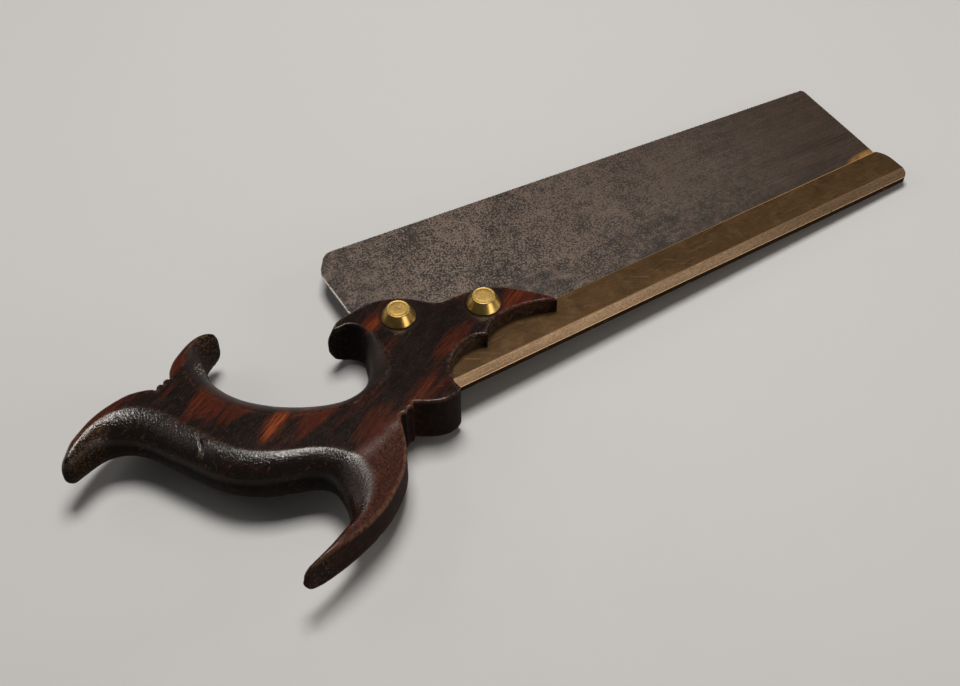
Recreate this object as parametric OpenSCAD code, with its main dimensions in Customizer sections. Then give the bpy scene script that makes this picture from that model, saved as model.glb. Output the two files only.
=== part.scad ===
// Back saw lying on its right cheek.
// X runs along the back towards the toe, Y towards the teeth, Z up.
// Drawing point X0 Y0: heel edge of the plate, on the lip line of the back.

/* [Plate] */
// Length of the plate from heel to toe
plate_len = 254; // [230:1:300]
// Depth from the lip of the back to the tooth line at the heel
depth_heel = 76; // [70:0.5:84]
// Depth from the lip of the back to the tooth line at the toe
depth_toe = 54.5; // [46:0.5:60]
// Thickness of the steel
plate_t = 0.8; // [0.6:0.1:1]
// Distance between tooth points
tooth_pitch = 1.2; // [1:0.1:2.6]
// How far the plate reaches into the fold of the back
plate_tuck = 9; // [6:0.5:10]

/* [Back] */
// Depth of the folded back
back_d = 19; // [17:0.5:21]
// Thickness of the folded back
back_t = 6.5; // [5.5:0.5:8]
// Width of the chamfer along the upper edge
chamfer_w = 4; // [2:0.5:5]
// Drop of that chamfer on each side
chamfer_h = 1.75; // [1:0.25:2]

/* [Handle] */
// Thickness of the wood
handle_t = 22.2; // [20:0.2:24]
// How much each face falls away towards the tips of the horns, hook and curl
horn_drop = 3; // [1:0.5:4]

/* [Bolts] */
// Diameter of the bolt head at the wood
head_d = 14.3; // [12:0.1:15]
// Diameter of the flat on top of the head
head_top_d = 9.4; // [7:0.1:10]
// Height of the head above the wood
head_h = 4.6; // [3:0.1:6]
// Side of the square neck under the head
neck_w = 5.6; // [5.2:0.1:6]
// Diameter of the shank
shank_d = 5; // [4.5:0.1:5.2]
// Diameter of the nut
nut_d = 12; // [10:0.1:13]
// Thickness of the nut
nut_h = 5; // [4:0.1:6]

/* [Hidden] */
$fn = 64;
e = 0.05;            // running clearance on each side
mid = handle_t / 2;  // level of the plate's middle
front_at = [44.8, 7];
rear_at = [12, 18.8];
heel_x = 9.5;                // first tooth
toe_x = plate_len - 2.5;     // end of the tooth line
function tooth_y(x) = depth_heel + (depth_toe - depth_heel) * (x - heel_x) / (toe_x - heel_x);
// place of the drawing point, so that the origin is under the middle of the box
rear_x = -129.5;
low_y = -66.5;
off = [-(plate_len + rear_x) / 2, -(tooth_y(heel_x + tooth_pitch) + low_y) / 2, 0];

// ---- outline of the handle: runs of hand-set points [x, y, edge rounding] ----
run_front = [
  [72, -6.6, .8], [70.4, -3.6, .8], [66.7, .6, .8], [62, 5.7, .8], [56, 11, .8],
  [50, 14.2, .8], [43, 15.9, .8], [35.5, 16.5, .8], [30.5, 16.9, .8],
  [27.3, 18.6, .8], [24, 21.9, .8], [20, 25.6, .8], [15, 28.8, .8], [9, 31, .8],
  [3, 31.5, 1], [-3.5, 31, 1.5], [-9.5, 30.4, 2], [-14, 29.2, 1.4],
  [-16.2, 26.9, 1], [-14.4, 25.4, 1], [-11, 25.7, 1], [-8.1, 25.8, 1],
  [-5.4, 24.1, 1], [-3.9, 21.2, 1.5], [-4.3, 17, 3.5], [-6.3, 13.2, 6],
  [-8.4, 9.5, 8], [-9.8, 5.5, 9], [-12.5, 1.2, 9], [-17, -2.2, 9],
  [-23, -3.6, 9.5], [-29, -2.5, 10], [-35, 0, 10], [-41, 3.2, 10],
  [-47, 7.2, 10], [-52.5, 12, 10], [-57.5, 17.6, 10], [-61.2, 23.8, 10],
  [-63.4, 30.2, 10], [-63.8, 35.8, 8.5], [-62.8, 41, 6.2], [-60.4, 45.2, 3.8],
  [-56.8, 48.4, 2], [-53.7, 50.6, 1], [-53.2, 52.6, .8], [-56.2, 53.6, 1.2],
  [-60.2, 52.8, 2], [-64.8, 50.9, 2], [-69.6, 48.1, 2], [-74.2, 44.7, 2],
  [-77.2, 41, 1.5], [-78.5, 38.1, 1], [-79, 36.6, .6]];
run_bead1 = [[-79, 36.6, .6], [-79.7, 37.3, .6], [-80.9, 37.2, .6], [-81.8, 36.5, .6], [-82.2, 35.4, .6]];
run_bead2 = [[-82.2, 35.4, .6], [-82.9, 36.2, .6], [-84.1, 36.1, .6], [-85, 35.4, .6], [-85.5, 34.2, .6]];
run_grip = [
  [-85.5, 34.2, .6], [-87, 35.8, 1], [-90.5, 37.6, 2], [-95.5, 38.7, 2],
  [-101, 38.2, 2], [-107, 36.9, 2], [-112.6, 35, 2], [-117.6, 32.5, 2],
  [-122.7, 29.6, 2], [-126.8, 26.8, 1.6], [-128.9, 24.7, 1.2], [-129.5, 22.6, 1], [-128.8, 20.9, 1],
  [-126, 20.1, 1.6], [-121.5, 21.8, 3], [-116.5, 23.6, 4.5], [-111.5, 24.3, 6.5],
  [-107, 23, 9], [-102.8, 20.5, 10], [-99.5, 17, 10.5], [-96.8, 13, 10.5],
  [-93, 6.4, 10.5], [-88.5, -1.5, 10.5], [-83.8, -9.3, 10.5], [-78, -16.2, 10.5],
  [-71.2, -21.2, 10.5], [-64.2, -24.7, 10.5], [-57, -27.2, 10.5], [-51.5, -29.4, 11],
  [-47.8, -32.5, 12], [-46.3, -37, 12.5], [-46.4, -42.5, 12], [-47.2, -48, 9],
  [-49.5, -53, 5.5], [-53.5, -56.5, 3.5], [-59, -59.3, 2], [-65, -61.6, 1.4],
  [-70, -63.1, .8], [-73.6, -64.3, .6], [-74.6, -65.7, .6], [-72.6, -66.5, .6],
  [-69.8, -65.7, .6], [-66.6, -65.2, .8], [-63.5, -64.5, .8], [-59.5, -63.7, 1], [-55, -62.8, 1],
  [-49.7, -61.6, 1], [-43.9, -59.8, .8], [-38.7, -57.7, .8], [-34.2, -55.4, .8],
  [-30.2, -52.7, .8], [-25.8, -49.3, .8], [-22.1, -45.8, .8], [-19.1, -42, .8], [-16.8, -38, .8],
  [-15.2, -34.4, .8], [-14, -30.5, .8], [-12.8, -26.6, .6]];
run_bead3 = [[-12.8, -26.6, .6], [-12, -25.3, .6], [-10.8, -25.1, .6], [-9.8, -25.6, .6], [-9.3, -25.2, .6]];
run_bead4 = [[-9.3, -25.2, .6], [-8.4, -24.2, .6], [-7.3, -24, .6], [-6.2, -24.4, .6], [-5.8, -24, .6]];
run_block = [[-5.8, -24, .6], [-5, -22.5, .6], [-2.7, -23.8, .8], [0, -25.5, .8], [3, -27, .8],
  [6, -27.9, .8], [9, -28, .8], [12, -27.3, .8], [14.3, -25.8, .8]];
run_cove = [[14.3, -25.8, .8], [13.9, -22.5, .8], [14.3, -19, .8], [15.3, -15.8, .8],
  [17.1, -12.8, .8], [19.5, -10.3, .8], [22.5, -8.2, .8], [25.8, -6.8, .8],
  [29.2, -6, .8], [32.5, -6, .8], [35.4, -6.8, .8], [37.4, -8.2, .6]];
run_nose = [[37.4, -8.2, .6], [38.2, -6.2, .8], [39.8, -4.5, .8], [42, -3.1, .8], [45, -2, .8],
  [49, -1.4, .8], [53, -1.3, .8], [58, -2, .8], [63, -3.2, .8], [67, -4.6, .8], [72, -6.6, .8]];
runs = [run_front, run_bead1, run_bead2, run_grip, run_bead3, run_bead4, run_block, run_cove, run_nose];

// smooth curve through a run's points; the run's last point is left to the next run
function cr(a, b, c, d, t) = .5 * ((2 * b) + (c - a) * t + (2 * a - 5 * b + 4 * c - d) * t * t
  + (3 * b - a - 3 * c + d) * t * t * t);
function pick(r, i) = i < 0 ? 2 * r[0] - r[1]
  : i >= len(r) ? 2 * r[len(r) - 1] - r[len(r) - 2] : r[i];
function steps(a, b) = max(1, round(norm([b[0] - a[0], b[1] - a[1]]) / 2.6));
function smooth_run(r) = [for (i = [0 : len(r) - 2]) let (n = steps(r[i], r[i + 1]))
  for (k = [0 : n - 1]) cr(pick(r, i - 1), r[i], r[i + 1], pick(r, i + 2), k / n)];
outline = [for (r = runs) each smooth_run(r)];
no = len(outline);
function flat2(p) = [p[0], p[1]];
function unit(v) = v / norm(v);
// inward direction at each point, stretched at corners so that walls keep their distance
function inward(i) = let (a = flat2(outline[(i + no - 1) % no]), b = flat2(outline[i]),
  c = flat2(outline[(i + 1) % no]), u = unit(b - a), v = unit(c - b),
  m = unit([-u[1] - v[1], u[0] + v[0]]), s = m * [-v[1], v[0]]) m / max(s, .75);
inw = [for (i = [0 : no - 1]) inward(i)];

// rounded body: rings from the lower flat, round the edge, to the upper flat
levels = [90, 67, 45, 22, 0];
function ring(a, up) = [for (i = [0 : no - 1]) let (r = outline[i][2], rv = min(r, mid - .6),
  p = flat2(outline[i]) + inw[i] * r * (1 - cos(a)), h = rv * (1 - sin(a)))
  [p[0], p[1], up ? handle_t - h : h]];
rings = concat([for (a = levels) ring(a, false)], [for (k = [len(levels) - 1 : -1 : 0]) ring(levels[k], true)]);
nr = len(rings);

// triangles over a flat outline, cut off one convex corner at a time
function turn(a, b, c) = (b[0] - a[0]) * (c[1] - a[1]) - (b[1] - a[1]) * (c[0] - a[0]);
function inside(p, a, b, c) = turn(a, b, p) >= 0 && turn(b, c, p) >= 0 && turn(c, a, p) >= 0;
function clear_tri(P, ix, a, b, c, j = 0) = j >= len(ix) ? true
  : (ix[j] != a && ix[j] != b && ix[j] != c && inside(P[ix[j]], P[a], P[b], P[c])) ? false
  : clear_tri(P, ix, a, b, c, j + 1);
function is_ear(P, ix, i) = let (n = len(ix), a = ix[(i + n - 1) % n], b = ix[i], c = ix[(i + 1) % n])
  turn(P[a], P[b], P[c]) > 1e-7 && clear_tri(P, ix, a, b, c);
function find_ear(P, ix, s, k = 0) = k >= len(ix) ? s % len(ix)
  : is_ear(P, ix, (s + k) % len(ix)) ? (s + k) % len(ix) : find_ear(P, ix, s, k + 1);
function ears(P, ix, s = 0, out = []) = len(ix) <= 3 ? concat(out, [ix])
  : let (n = len(ix), i = find_ear(P, ix, s))
    ears(P, [for (k = [0 : n - 1]) if (k != i) ix[k]], i + 1,
      concat(out, [[ix[(i + n - 1) % n], ix[i], ix[(i + 1) % n]]]));
cap = ears(rings[0], [for (i = [0 : no - 1]) i]);

module rounded_body() {
  last = (nr - 1) * no;
  walls = [for (k = [0 : nr - 2]) for (i = [0 : no - 1]) let (a = k * no + i, b = k * no + (i + 1) % no)
    each [[a, a + no, b], [b, a + no, b + no]]];
  polyhedron([for (r = rings) each r],
    concat(walls, cap, [for (t = cap) [t[2] + last, t[1] + last, t[0] + last]]));
}

// wedge that thins a tip: it starts at a point, falls in a direction, by a drop over a length
module tip_wedge(at, dir, drop, run, half) {
  translate([at[0], at[1], handle_t]) rotate([0, 0, dir]) rotate([0, atan(drop / run), 0])
    translate([0, -half, 0]) cube([run + 14, 2 * half, 12]);
}
module tip_wedges(rear, curl) {
  tip_wedge([-38, -53.5], 197, horn_drop, 36, 16);
  // the shoulder and the upper horn fall away to a thinner outer edge
  tip_wedge([-49.7, -47], -65.8, horn_drop * 1.3, 14, 40);
  tip_wedge([-104, 30], 200, rear, 26, 16);
  tip_wedge([-63, 47], 35, horn_drop, 11, 12);
  tip_wedge([-7, 28.5], 190, curl, 9, 7);
}

module bolt_holes(at) {
  translate([at[0], at[1], -1]) cylinder(d = shank_d + .2, h = handle_t + 2);
  translate([at[0], at[1], -1]) cylinder(d = nut_d + .3, h = 1 + .2 + nut_h + .1);
  translate([at[0] - neck_w / 2 - e, at[1] - neck_w / 2 - e, handle_t - 5 - e]) cube([neck_w + 2 * e, neck_w + 2 * e, 8]);
}

module handle() {
  color([.20, .10, .07]) translate(off) difference() {
    rounded_body();
    // both faces fall away towards the tips, the lower one more at the rear horn and the curl
    tip_wedges(horn_drop * .6, horn_drop * .4);
    translate([0, 0, handle_t]) mirror([0, 0, 1]) tip_wedges(horn_drop * 1.6, horn_drop * 1.7);
    // kerf for the plate
    translate([-e, -e, mid - plate_t / 2 - e]) cube([120, 60, plate_t + 2 * e]);
    // mortise for the back
    translate([-e, -back_d - e, mid - back_t / 2 - e]) cube([120, back_d + 2 * e, back_t + 2 * e]);
    bolt_holes(front_at);
    bolt_holes(rear_at);
  }
}

// ---- plate ----
teeth_n = floor((toe_x - heel_x) / tooth_pitch);
tooth_h = tooth_pitch * .45;
heel_corner = [[8, depth_heel - .2], [5.7, depth_heel - 2.3], [3.6, depth_heel - 5.2],
  [1.8, depth_heel - 7.8], [.7, depth_heel - 10.2], [.2, depth_heel - 13], [0, depth_heel - 16.5]];
toe_corner = [for (a = [90 : -15 : 0]) [plate_len - 2 + 2 * cos(a), depth_toe - 2.2 + 2 * sin(a)]];
module plate_shape() {
  polygon(concat(
    [for (i = [0 : teeth_n - 1]) let (x = heel_x + i * tooth_pitch)
      each [[x, tooth_y(x) - tooth_h], [x + tooth_pitch * .82, tooth_y(x + tooth_pitch)]]],
    [[heel_x + teeth_n * tooth_pitch, tooth_y(toe_x) - tooth_h]],
    toe_corner,
    [[plate_len - 2, 0], [plate_len - 2.4, -plate_tuck], [0, -plate_tuck]],
    [for (i = [len(heel_corner) - 1 : -1 : 0]) heel_corner[i]]));
}
module saw_plate() {
  color([.46, .44, .41]) translate(off) difference() {
    translate([0, 0, mid - plate_t / 2]) linear_extrude(plate_t) plate_shape();
    for (p = [front_at, rear_at]) translate([p[0], p[1], 0]) cylinder(d = shank_d + .4, h = handle_t);
  }
}

// ---- folded back ----
back_end = plate_len - .5;
module back_section() {
  difference() {
    polygon([[0, -back_t / 2], [-back_d + chamfer_w, -back_t / 2], [-back_d, -back_t / 2 + chamfer_h],
      [-back_d, back_t / 2 - chamfer_h], [-back_d + chamfer_w, back_t / 2], [0, back_t / 2]]);
    translate([-plate_tuck - 3, -plate_t / 2 - e]) square([plate_tuck + 4, plate_t + 2 * e]);
  }
}
module brass_back() {
  color([.55, .44, .22]) translate(off) intersection() {
    translate([0, 0, mid]) rotate([90, 0, 90]) linear_extrude(back_end) back_section();
    // side view: the toe end is rounded
    linear_extrude(handle_t) polygon(concat([[-1, 1], [-1, -back_d - 1], [back_end - 3, -back_d - 1]],
      [for (a = [-90 : 15 : 0]) [back_end - 3 + 3 * cos(a), -back_d + 3 + 3 * sin(a)]],
      [for (a = [0 : 10 : 80]) [back_end - 7 + 7 * cos(a), -8.5 + 9.5 * sin(a)]],
      [[back_end - 7, 1]]));
  }
}

// ---- bolts and nuts ----
module saw_bolt(at) {
  color([.78, .60, .28]) translate(off + [at[0], at[1], 0]) {
    translate([0, 0, handle_t]) rotate_extrude() polygon([[0, 0], [head_d / 2, 0], [head_d / 2, .5],
      [head_top_d / 2 + .3, head_h - .3], [head_top_d / 2, head_h], [head_top_d / 2 - .8, head_h],
      [head_top_d / 2 - 1, head_h - .15], [0, head_h - .15]]);
    translate([-neck_w / 2, -neck_w / 2, handle_t - 5]) cube([neck_w, neck_w, 5]);
    translate([0, 0, .4]) cylinder(d = shank_d, h = handle_t - 5 - .4);
  }
}
module front_bolt() { saw_bolt(front_at); }
module rear_bolt() { saw_bolt(rear_at); }
module saw_nut(at) {
  color([.72, .56, .27]) translate(off + [at[0], at[1], .2]) difference() {
    cylinder(d = nut_d, h = nut_h);
    translate([0, 0, -1]) cylinder(d = shank_d + 2 * e, h = nut_h + 2);
    translate([-nut_d, -1, -1]) cube([2 * nut_d, 2, 2.8]);
  }
}
module front_nut() { saw_nut(front_at); }
module rear_nut() { saw_nut(rear_at); }

handle();
saw_plate();
brass_back();
front_bolt();
rear_bolt();
front_nut();
rear_nut();
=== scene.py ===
import math

import bmesh
import bpy
import numpy as np
from mathutils import Matrix, Vector


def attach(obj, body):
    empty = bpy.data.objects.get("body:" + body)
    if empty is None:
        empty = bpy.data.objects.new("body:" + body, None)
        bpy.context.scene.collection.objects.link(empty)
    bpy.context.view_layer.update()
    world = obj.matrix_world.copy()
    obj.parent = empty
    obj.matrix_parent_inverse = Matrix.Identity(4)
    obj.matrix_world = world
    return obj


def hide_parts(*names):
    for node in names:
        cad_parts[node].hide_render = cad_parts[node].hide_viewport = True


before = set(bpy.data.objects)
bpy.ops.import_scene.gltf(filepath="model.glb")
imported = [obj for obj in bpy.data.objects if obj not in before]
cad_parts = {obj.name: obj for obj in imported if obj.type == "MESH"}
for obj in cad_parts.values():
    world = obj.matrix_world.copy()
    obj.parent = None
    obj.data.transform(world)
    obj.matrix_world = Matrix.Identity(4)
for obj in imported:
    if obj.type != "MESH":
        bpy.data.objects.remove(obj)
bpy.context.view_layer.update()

scene = bpy.context.scene

# The outlines are drawn in millimetres with x from the heel of the plate to the toe, y from the lip of
# the back to the teeth and w up from the middle of the plate. PLACE takes a drawing point to the frame.
PLACE = np.array([-62.25, -4.69669, 11.1])
HALF = 11.1


def to_frame(points):
    return (np.asarray(points, float) + PLACE) * 0.001


# ------------------------------------------------------------------ mesh helpers
def mesh_object(name, verts, faces):
    me = bpy.data.meshes.new(name)
    me.from_pydata([tuple(v) for v in verts], [], [tuple(int(i) for i in f) for f in faces])
    me.validate()
    ob = bpy.data.objects.new(name, me)
    scene.collection.objects.link(ob)
    return ob


def quads_object(name, verts, quads):
    me = bpy.data.meshes.new(name)
    me.vertices.add(len(verts))
    me.vertices.foreach_set("co", np.asarray(verts, np.float32).ravel())
    me.loops.add(quads.size)
    me.loops.foreach_set("vertex_index", quads.astype(np.int32).ravel())
    me.polygons.add(len(quads))
    me.polygons.foreach_set("loop_start", np.arange(0, quads.size, 4, dtype=np.int32))
    me.update(calc_edges=True)
    me.validate()
    ob = bpy.data.objects.new(name, me)
    scene.collection.objects.link(ob)
    return ob


def bake(ob):
    """Puts the modifiers' result into the object's own mesh."""
    bpy.context.view_layer.update()
    done = bpy.data.meshes.new_from_object(ob.evaluated_get(bpy.context.evaluated_depsgraph_get()))
    old = ob.data
    ob.modifiers.clear()
    ob.data = done
    done.name = ob.name
    bpy.data.meshes.remove(old)


def cut(ob, tool, operation="DIFFERENCE"):
    mod = ob.modifiers.new("cut", "BOOLEAN")
    mod.object, mod.operation, mod.solver = tool, operation, "MANIFOLD"
    bake(ob)
    me = tool.data
    bpy.data.objects.remove(tool)
    bpy.data.meshes.remove(me)


def bevel(ob, width, segments=2, angle=30.0):
    mod = ob.modifiers.new("bevel", "BEVEL")
    mod.width, mod.segments, mod.limit_method, mod.angle_limit = width, segments, "ANGLE", math.radians(angle)
    mod.use_clamp_overlap = True
    bake(ob)


def shade(ob, angle):
    me = ob.data
    me.polygons.foreach_set("use_smooth", np.ones(len(me.polygons), bool))
    me.set_sharp_from_angle(angle=math.radians(angle))
    me.update()


def prism(name, outline, low, high, axis="z"):
    """A closed solid: the outline (drawing points of two axes) drawn out along the third."""
    n = len(outline)
    verts = []
    for h in (low, high):
        for p in outline:
            verts.append((p[0], p[1], h) if axis == "z" else (h, p[0], p[1]))
    faces = [tuple(range(n - 1, -1, -1)), tuple(range(n, 2 * n))]
    faces += [(i, (i + 1) % n, n + (i + 1) % n, n + i) for i in range(n)]
    ob = mesh_object(name, to_frame(verts), faces)
    bm = bmesh.new()
    bm.from_mesh(ob.data)
    bmesh.ops.recalc_face_normals(bm, faces=bm.faces)
    bm.to_mesh(ob.data)
    bm.free()
    return ob


def lathe(name, at, profile, sides=96):
    """A solid of revolution about a vertical line: profile runs from the axis up and back to it, (radius, w)."""
    verts, rings = [], []
    for r, w in profile:
        if r < 1e-6:
            rings.append([len(verts)])
            verts.append((at[0], at[1], w))
        else:
            rings.append(list(range(len(verts), len(verts) + sides)))
            verts += [(at[0] + r * math.cos(2 * math.pi * k / sides), at[1] + r * math.sin(2 * math.pi * k / sides), w)
                      for k in range(sides)]
    faces = []
    for a, b in zip(rings, rings[1:]):
        for k in range(sides):
            k2 = (k + 1) % sides
            if len(a) == 1:
                faces.append((a[0], b[k2], b[k]))
            elif len(b) == 1:
                faces.append((a[k], a[k2], b[0]))
            else:
                faces.append((a[k], a[k2], b[k2], b[k]))
    ob = mesh_object(name, to_frame(verts), faces)
    bm = bmesh.new()
    bm.from_mesh(ob.data)
    bmesh.ops.recalc_face_normals(bm, faces=bm.faces)
    bm.to_mesh(ob.data)
    bm.free()
    return ob


def box_points(cx, cy, half, turn=0.0):
    c, s = math.cos(turn), math.sin(turn)
    return [(cx + c * x - s * y, cy + s * x + c * y)
            for x, y in ((-half, -half), (half, -half), (half, half), (-half, half))]


# smooth random field on a lattice, the same on every run
def lattice(points, cell, seed):
    rng = np.random.RandomState(seed)
    table = rng.rand(64, 64, 64).astype(np.float32)
    p = points / cell + 1000.0
    i = np.floor(p).astype(int)
    f = p - i
    f = f * f * (3 - 2 * f)
    i &= 63
    j = (i + 1) & 63
    out = np.zeros(len(points))
    for a in (0, 1):
        for b in (0, 1):
            for c in (0, 1):
                w = (f[:, 0] if a else 1 - f[:, 0]) * (f[:, 1] if b else 1 - f[:, 1]) * (f[:, 2] if c else 1 - f[:, 2])
                out += w * table[(j if a else i)[:, 0], (j if b else i)[:, 1], (j if c else i)[:, 2]]
    return out - 0.5


def smoothstep(a, b, x):
    t = np.clip((x - a) / (b - a), 0, 1)
    return t * t * (3 - 2 * t)


# ------------------------------------------------------------------ the handle
# Control points (x, y, edge radius, kind of edge): c crisp, f finger side, p palm side, t tip
FRONT = [
    (72, -6.6, 1.8, "c"), (70.4, -3.6, 1.3, "c"), (66.7, .6, .9, "c"), (62, 5.7, .8, "c"), (56, 11, .8, "c"),
    (50, 14.2, .8, "c"), (43, 15.9, .8, "c"), (35.5, 16.5, .8, "c"), (30.5, 16.9, .8, "c"), (27.3, 18.6, .8, "c"),
    (24, 21.9, .8, "c"), (20, 25.6, .8, "c"), (15, 28.8, .8, "c"), (9, 31, .9, "c"), (3, 31.5, 1, "c"),
    (-3.5, 31, 1.4, "c"), (-9.5, 30.4, 2, "t"), (-14, 29.2, 4.4, "t"), (-16.2, 26.9, 4.4, "t"), (-14.4, 25.4, 3, "t"),
    (-11, 25.7, 1.2, "f"), (-8.1, 25.8, .9, "f"), (-5.4, 24.1, 1, "f"), (-3.9, 21.2, 1.8, "f"), (-4.3, 17, 4.6, "f"),
    (-6.3, 13.2, 8, "f"), (-8.4, 9.5, 10.8, "f"), (-9.8, 5.5, 11.6, "f"), (-12.5, 1.2, 11, "f"), (-17, -2.2, 10, "f"),
    (-23, -3.6, 9.4, "f"), (-29, -2.5, 10.4, "f"), (-35, 0, 11.4, "f"), (-41, 3.2, 11.8, "f"), (-47, 7.2, 11.8, "f"),
    (-52.5, 12, 11.8, "f"), (-57.5, 17.6, 11.8, "f"), (-61.2, 23.8, 11.2, "f"), (-63.4, 30.2, 11.4, "f"),
    (-63.8, 35.8, 11.6, "f"), (-62.8, 41, 10.2, "f"), (-60.4, 45.2, 7.4, "f"), (-56.8, 48.4, 5.2, "t"),
    (-53.5, 50.5, 4.4, "t"), (-52.9, 52.4, 4.0, "t"), (-56.0, 53.4, 3.2, "t"), (-60.2, 52.8, 2.4, "c"),
    (-64.8, 50.9, 2, "c"), (-69.6, 48.1, 1.8, "c"), (-74.2, 44.7, 1.6, "c"), (-77.2, 41, 1.3, "c"),
    (-78.5, 38.1, 1, "c"), (-79, 36.6, .6, "c")]
BEAD1 = [(-79, 36.6, .6, "c"), (-79.7, 37.3, .6, "c"), (-80.9, 37.2, .6, "c"), (-81.8, 36.5, .6, "c"), (-82.2, 35.4, .6, "c")]
BEAD2 = [(-82.2, 35.4, .6, "c"), (-82.9, 36.2, .6, "c"), (-84.1, 36.1, .6, "c"), (-85, 35.4, .6, "c"), (-85.5, 34.2, .6, "c")]
GRIP = [
    (-85.5, 34.2, .6, "c"), (-87, 35.8, 1, "c"), (-90.5, 37.6, 1.8, "c"), (-95.5, 38.7, 2.2, "c"), (-101, 38.2, 2.2, "c"),
    (-107, 36.9, 2.2, "c"), (-112.6, 35, 2.2, "c"), (-117.6, 32.5, 2.4, "c"), (-122.7, 29.6, 2.8, "t"),
    (-126.8, 26.8, 4.2, "t"), (-128.9, 24.7, 5, "t"), (-129.5, 22.6, 5.4, "t"), (-128.8, 20.9, 5.4, "t"), (-126, 20.1, 5, "p"),
    (-121.5, 21.8, 5.4, "p"), (-116.5, 23.6, 6.8, "p"), (-111.5, 24.3, 9.4, "p"), (-107, 23, 13, "p"),
    (-102.8, 20.5, 15, "p"), (-99.5, 17, 15, "p"), (-96.8, 13, 14.8, "p"), (-93, 6.4, 14.2, "p"),
    (-88.5, -1.5, 13.6, "p"), (-83.8, -9.3, 13.2, "p"), (-78, -16.2, 13.2, "p"), (-71.2, -21.2, 12.6, "p"),
    (-64.2, -24.7, 11.8, "p"), (-57, -27.2, 10.8, "p"), (-51.5, -29.4, 10.6, "p"), (-47.8, -32.5, 11.6, "p"),
    (-46.3, -37, 15, "p"), (-46.4, -42.5, 16.2, "p"), (-47.2, -48, 12, "p"), (-49.4, -53.2, 6, "p"),
    (-53.3, -57, 3, "p"), (-58.8, -59.9, 2, "p"), (-64.9, -62.1, 1.7, "p"), (-70, -63.5, 1.7, "t"),
    (-73.5, -64.5, 2.2, "t"), (-74.6, -65.7, 2.6, "t"), (-72.6, -66.5, 2.2, "t"), (-69.8, -65.7, 1.5, "c"),
    (-66.6, -65.2, 1.1, "c"), (-63.5, -64.5, .9, "c"), (-59.5, -63.7, .8, "c"), (-55, -62.8, .7, "c"), (-49.7, -61.6, .7, "c"), (-43.9, -59.8, .6, "c"),
    (-38.7, -57.7, .6, "c"), (-34.2, -55.4, .6, "c"), (-30.2, -52.7, .6, "c"), (-25.8, -49.3, .6, "c"), (-22.1, -45.8, .6, "c"),
    (-19.1, -42, .7, "c"), (-16.8, -38, .7, "c"), (-15.2, -34.4, .8, "c"), (-14, -30.5, .8, "c"), (-12.8, -26.6, .6, "c")]
BEAD3 = [(-12.8, -26.6, .6, "c"), (-12, -25.3, .6, "c"), (-10.8, -25.1, .6, "c"), (-9.8, -25.6, .6, "c"), (-9.3, -25.2, .6, "c")]
BEAD4 = [(-9.3, -25.2, .6, "c"), (-8.4, -24.2, .6, "c"), (-7.3, -24, .6, "c"), (-6.2, -24.4, .6, "c"), (-5.8, -24, .6, "c")]
BLOCK = [(-5.8, -24, .6, "c"), (-5, -22.5, .6, "c"), (-2.7, -23.8, .8, "c"), (0, -25.5, .8, "c"), (3, -27, .8, "c"),
         (6, -27.9, .8, "c"), (9, -28, .8, "c"), (12, -27.3, .8, "c"), (14.3, -25.8, .8, "c")]
COVE = [(14.3, -25.8, .8, "c"), (13.9, -22.5, .8, "c"), (14.3, -19, .8, "c"), (15.3, -15.8, .8, "c"),
        (17.1, -12.8, .8, "c"), (19.5, -10.3, .8, "c"), (22.5, -8.2, .8, "c"), (25.8, -6.8, .8, "c"),
        (29.2, -6, .8, "c"), (32.5, -6, .8, "c"), (35.4, -6.8, .7, "c"), (37.4, -8.2, .6, "c")]
NOSE = [(37.4, -8.2, .6, "c"), (38.2, -6.2, .8, "c"), (39.8, -4.5, .8, "c"), (42, -3.1, .8, "c"), (45, -2, .8, "c"),
        (49, -1.4, .8, "c"), (53, -1.3, .8, "c"), (58, -2, .8, "c"), (63, -3.2, .8, "c"), (67, -4.6, .8, "c"),
        (72, -6.6, 1.8, "c")]
RUNS = [FRONT, BEAD1, BEAD2, GRIP, BEAD3, BEAD4, BLOCK, COVE, NOSE]
KINDS = "cfpt"
FRONT_AT, REAR_AT = (44.8, 7.0), (12.0, 18.8)
# places where the rear horn, the hook and the curl thin: point, direction, drop above, drop below, run, half width
THIN = [((-104, 30), 200, 1.9, 4.9, 26, 17), ((-63, 47), 35, 1.8, 1.8, 11, 12), ((-7, 28.5), 190, 1.0, 5.2, 9, 7)]
# outer edge of the shoulder and the upper horn with the half thickness there; the faces fall away towards it
SHOULDER = [(-74.6, -65.7, 7.0), (-66.6, -65.2, 7.6), (-63.5, -64.5, 8.0), (-59.5, -63.7, 8.1), (-55, -62.8, 7.9), (-49.7, -61.6, 7.4),
            (-43.9, -59.8, 7.1), (-38.7, -57.7, 6.9), (-34.2, -55.4, 6.9), (-30.2, -52.7, 7.1), (-25.8, -49.3, 7.1), (-22.1, -45.8, 7.1),
            (-19.1, -42, 7.6), (-16.8, -38, 8.4), (-15.2, -34.4, 9.3), (-14, -30.5, 10.5), (-12.8, -26.6, 12.6), (-12.4, -25, 13.4)]
FALL = 0.28
CLAW = ((-64.0, -63.0), 194.2, 11.4, 8.9)



def spline(run):
    p = np.array([c[:3] for c in run], float)
    e = np.vstack([2 * p[0] - p[1], p, 2 * p[-1] - p[-2]])
    out, kind = [], []
    for i in range(len(p) - 1):
        a, b, c, d = e[i:i + 4]
        n = max(1, int(round(np.hypot(*(c - b)[:2]) / 0.6)))
        t = (np.arange(n) / n)[:, None]
        out.append(.5 * (2 * b + (c - a) * t + (2 * a - 5 * b + 4 * c - d) * t * t + (3 * b - a - 3 * c + d) * t ** 3))
        kind += [KINDS.index(run[i][3])] * n
    return np.vstack(out), kind


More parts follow.
